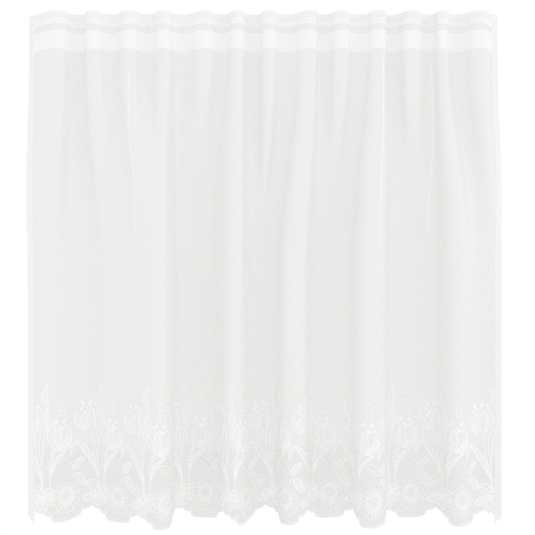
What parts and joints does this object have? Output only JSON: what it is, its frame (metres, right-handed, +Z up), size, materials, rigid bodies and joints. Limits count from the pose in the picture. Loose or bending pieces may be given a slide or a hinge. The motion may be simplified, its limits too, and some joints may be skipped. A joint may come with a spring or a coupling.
{
  "type": "lace curtain",
  "caption": "Sheer net curtain hung in soft folds, with a turned frill, two sewn heading tapes, side hems and a scalloped lace border.",
  "frame": {"origin": "middle of the curtain's top edge", "axes": "+X along the heading to the viewer's right, +Y from the front of the curtain to its back, +Z up"},
  "size_m": [1.3448, 0.1052, 1.436],
  "materials": {
    "white_net": "sheer white woven net with a soft sheen, closer woven at the hems and in the lace border",
    "white_tape": "close-woven white heading tape with a fine rib"
  },
  "bodies": {
    "root": {"lace_panel": "white_net", "heading_band_narrow": "white_tape", "heading_band_wide": "white_tape"}
  },
  "joints": []
}
